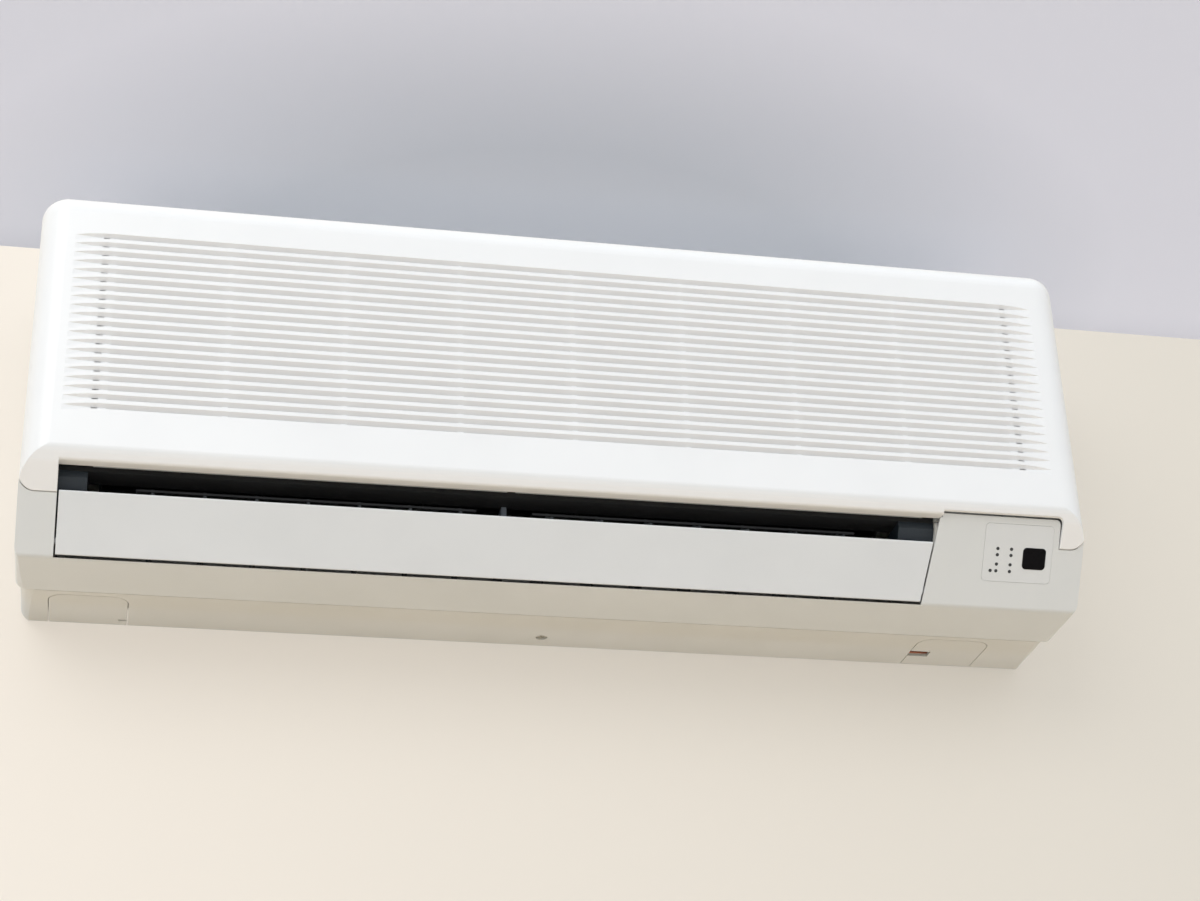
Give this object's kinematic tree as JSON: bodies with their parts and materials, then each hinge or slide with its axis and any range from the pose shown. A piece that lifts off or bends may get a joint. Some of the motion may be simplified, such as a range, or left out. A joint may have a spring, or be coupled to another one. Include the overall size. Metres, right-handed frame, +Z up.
{
  "type": "mini split indoor unit",
  "caption": "Wall mounted air conditioner indoor unit with a louvred hinged front panel, an outlet flap, swinging vanes and filters.",
  "frame": {"origin": "middle of the mounting plate's back face, on the wall", "axes": "+Z up, +Y into the wall, +X along the width to the right as seen from the room"},
  "size_m": [0.8, 0.16, 0.284],
  "materials": {
    "panel_white": "satin moulded",
    "casing_white": "satin moulded",
    "flap_white": "satin moulded",
    "chassis_plastic": "fine grained",
    "zinc_steel": "galvanised",
    "motor_steel": "drawn",
    "motor_case": "satin paint",
    "cover_film": "clear gloss film",
    "ir_black": "polished",
    "lamp_mark": "moulded",
    "circuit_board": "lacquered",
    "button_grey": "satin",
    "screw_steel": "zinc plated",
    "duct_grey": "moulded",
    "duct_dark": "moulded",
    "vane_dark": "moulded",
    "filter_frame": "moulded",
    "filter_net": "woven net",
    "fin_aluminium": "stamped sheet",
    "copper": "drawn copper",
    "brass_nut": "machined",
    "sensor_copper": "drawn",
    "fan_plastic": "moulded",
    "shaft_steel": "ground",
    "bearing_rubber": "moulded",
    "box_plastic": "moulded",
    "transformer_tape": "wound tape",
    "capacitor_case": "sleeved",
    "terminal_plastic": "moulded",
    "foam_pan": "moulded, foam lined",
    "cap_rubber": "moulded"
  },
  "bodies": {
    "root": {"front_casing": "casing_white", "rear_chassis": "chassis_plastic", "mounting_plate": "zinc_steel", "flap_motor": "motor_steel", "display_cover": "cover_film", "ir_window": "ir_black", "indicator_lamps": "lamp_mark", "receiver_board": "circuit_board", "underside_screw": "screw_steel", "outlet_centre_post": "duct_grey", "outlet_end_block_left": "duct_dark", "outlet_end_block_right": "duct_dark", "coil_fins_front": "fin_aluminium", "coil_fins_upper": "fin_aluminium", "coil_fins_rear": "fin_aluminium", "coil_tubes": "copper", "coil_end_plates_left": "zinc_steel", "coil_end_plates_right": "zinc_steel", "fan_bearing": "bearing_rubber", "fan_motor": "motor_case", "motor_clamp": "zinc_steel", "control_box": "box_plastic", "control_board": "circuit_board", "transformer": "transformer_tape", "capacitor": "capacitor_case", "terminal_block": "terminal_plastic", "control_cover": "zinc_steel", "drain_pan": "foam_pan", "drain_cap": "cap_rubber", "liquid_pipe": "copper", "gas_pipe": "copper", "flare_nuts": "brass_nut", "coil_sensor": "sensor_copper"},
    "panel": {"front_panel": "panel_white"},
    "flap": {"flap": "flap_white"},
    "filter_left": {"filter_frame_left": "filter_frame", "filter_net_left": "filter_net"},
    "filter_right": {"filter_frame_right": "filter_frame", "filter_net_right": "filter_net"},
    "fan": {"fan_rotor": "fan_plastic", "fan_shafts": "shaft_steel"},
    "button": {"emergency_button": "button_grey"},
    "tab_left": {"release_tab_left": "chassis_plastic"},
    "tab_right": {"release_tab_right": "chassis_plastic"},
    "rod_left": {"vane_rod_left": "vane_dark"},
    "rod_right": {"vane_rod_right": "vane_dark"},
    "vane_left_1": {"vane_left_1": "vane_dark"},
    "vane_right_1": {"vane_right_1": "vane_dark"},
    "vane_left_2": {"vane_left_2": "vane_dark"},
    "vane_right_2": {"vane_right_2": "vane_dark"},
    "vane_left_3": {"vane_left_3": "vane_dark"},
    "vane_right_3": {"vane_right_3": "vane_dark"},
    "vane_left_4": {"vane_left_4": "vane_dark"},
    "vane_right_4": {"vane_right_4": "vane_dark"},
    "vane_left_5": {"vane_left_5": "vane_dark"},
    "vane_right_5": {"vane_right_5": "vane_dark"},
    "vane_left_6": {"vane_left_6": "vane_dark"},
    "vane_right_6": {"vane_right_6": "vane_dark"},
    "vane_left_7": {"vane_left_7": "vane_dark"},
    "vane_right_7": {"vane_right_7": "vane_dark"}
  },
  "joints": [
    {"name": "panel_hinge", "type": "hinge", "parent": "root", "child": "panel", "pos_m": [0, -0.126, 0.137], "axis": [-1, 0, 0], "range_deg": [0, 60]},
    {"name": "flap_hinge", "type": "hinge", "parent": "root", "child": "flap", "pos_m": [0, -0.113, -0.127], "axis": [1, 0, 0], "range_deg": [0, 80]},
    {"name": "filter_slide_left", "type": "slide", "parent": "root", "child": "filter_left", "axis": [0, 0, 1], "range_m": [-0.21, 0]},
    {"name": "filter_slide_right", "type": "slide", "parent": "root", "child": "filter_right", "axis": [0, 0, 1], "range_m": [-0.21, 0]},
    {"name": "fan_spin", "type": "hinge", "parent": "root", "child": "fan", "pos_m": [0, -0.066, -0.028], "axis": [1, 0, 0], "continuous": true},
    {"name": "button_press", "type": "slide", "parent": "root", "child": "button", "axis": [0, 1, 0], "range_m": [0, 0.0015], "stiffness_N_per_m": 800, "springref_m": -0.0005},
    {"name": "tab_press_left", "type": "slide", "parent": "root", "child": "tab_left", "axis": [0, 0, 1], "range_m": [0, 0.003], "stiffness_N_per_m": 1500, "springref_m": -0.001},
    {"name": "tab_press_right", "type": "slide", "parent": "root", "child": "tab_right", "axis": [0, 0, 1], "range_m": [0, 0.003], "stiffness_N_per_m": 1500, "springref_m": -0.001},
    {"name": "vane_swing_left_1", "type": "hinge", "parent": "root", "child": "vane_left_1", "pos_m": [-0.306, -0.084, -0.12839], "axis": [0, -0.342, 0.9397], "range_deg": [-30, 30]},
    {"name": "vane_swing_left_2", "type": "hinge", "parent": "root", "child": "vane_left_2", "pos_m": [-0.2685, -0.084, -0.12839], "axis": [0, -0.342, 0.9397], "range_deg": [-30, 30]},
    {"name": "vane_swing_left_3", "type": "hinge", "parent": "root", "child": "vane_left_3", "pos_m": [-0.231, -0.084, -0.12839], "axis": [0, -0.342, 0.9397], "range_deg": [-30, 30]},
    {"name": "vane_swing_left_4", "type": "hinge", "parent": "root", "child": "vane_left_4", "pos_m": [-0.1935, -0.084, -0.12839], "axis": [0, -0.342, 0.9397], "range_deg": [-30, 30]},
    {"name": "vane_swing_left_5", "type": "hinge", "parent": "root", "child": "vane_left_5", "pos_m": [-0.156, -0.084, -0.12839], "axis": [0, -0.342, 0.9397], "range_deg": [-30, 30]},
    {"name": "vane_swing_left_6", "type": "hinge", "parent": "root", "child": "vane_left_6", "pos_m": [-0.1185, -0.084, -0.12839], "axis": [0, -0.342, 0.9397], "range_deg": [-30, 30]},
    {"name": "vane_swing_left_7", "type": "hinge", "parent": "root", "child": "vane_left_7", "pos_m": [-0.081, -0.084, -0.12839], "axis": [0, -0.342, 0.9397], "range_deg": [-30, 30]},
    {"name": "rod_slide_left", "type": "slide", "parent": "root", "child": "rod_left", "axis": [1, 0, 0], "range_m": [-0.00655, 0.00655]},
    {"name": "vane_swing_right_1", "type": "hinge", "parent": "root", "child": "vane_right_1", "pos_m": [-0.0188, -0.084, -0.12839], "axis": [0, -0.342, 0.9397], "range_deg": [-48, 12]},
    {"name": "vane_swing_right_2", "type": "hinge", "parent": "root", "child": "vane_right_2", "pos_m": [0.019, -0.084, -0.12839], "axis": [0, -0.342, 0.9397], "range_deg": [-48, 12]},
    {"name": "vane_swing_right_3", "type": "hinge", "parent": "root", "child": "vane_right_3", "pos_m": [0.0568, -0.084, -0.12839], "axis": [0, -0.342, 0.9397], "range_deg": [-48, 12]},
    {"name": "vane_swing_right_4", "type": "hinge", "parent": "root", "child": "vane_right_4", "pos_m": [0.0946, -0.084, -0.12839], "axis": [0, -0.342, 0.9397], "range_deg": [-48, 12]},
    {"name": "vane_swing_right_5", "type": "hinge", "parent": "root", "child": "vane_right_5", "pos_m": [0.1324, -0.084, -0.12839], "axis": [0, -0.342, 0.9397], "range_deg": [-48, 12]},
    {"name": "vane_swing_right_6", "type": "hinge", "parent": "root", "child": "vane_right_6", "pos_m": [0.1702, -0.084, -0.12839], "axis": [0, -0.342, 0.9397], "range_deg": [-48, 12]},
    {"name": "vane_swing_right_7", "type": "hinge", "parent": "root", "child": "vane_right_7", "pos_m": [0.208, -0.084, -0.12839], "axis": [0, -0.342, 0.9397], "range_deg": [-48, 12]},
    {"name": "rod_slide_right", "type": "slide", "parent": "root", "child": "rod_right", "axis": [1, 0, 0], "range_m": [-0.01045, 0.00265]}
  ],
  "couplings": [
    {"joint": "vane_swing_left_2", "follows": "vane_swing_left_1", "ratio": 1},
    {"joint": "vane_swing_left_3", "follows": "vane_swing_left_1", "ratio": 1},
    {"joint": "vane_swing_left_4", "follows": "vane_swing_left_1", "ratio": 1},
    {"joint": "vane_swing_left_5", "follows": "vane_swing_left_1", "ratio": 1},
    {"joint": "vane_swing_left_6", "follows": "vane_swing_left_1", "ratio": 1},
    {"joint": "vane_swing_left_7", "follows": "vane_swing_left_1", "ratio": 1},
    {"joint": "rod_slide_left", "follows": "vane_swing_left_1", "m_per_rad": 0.012414},
    {"joint": "vane_swing_right_2", "follows": "vane_swing_right_1", "ratio": 1},
    {"joint": "vane_swing_right_3", "follows": "vane_swing_right_1", "ratio": 1},
    {"joint": "vane_swing_right_4", "follows": "vane_swing_right_1", "ratio": 1},
    {"joint": "vane_swing_right_5", "follows": "vane_swing_right_1", "ratio": 1},
    {"joint": "vane_swing_right_6", "follows": "vane_swing_right_1", "ratio": 1},
    {"joint": "vane_swing_right_7", "follows": "vane_swing_right_1", "ratio": 1},
    {"joint": "rod_slide_right", "follows": "vane_swing_right_1", "m_per_rad": 0.012414}
  ]
}
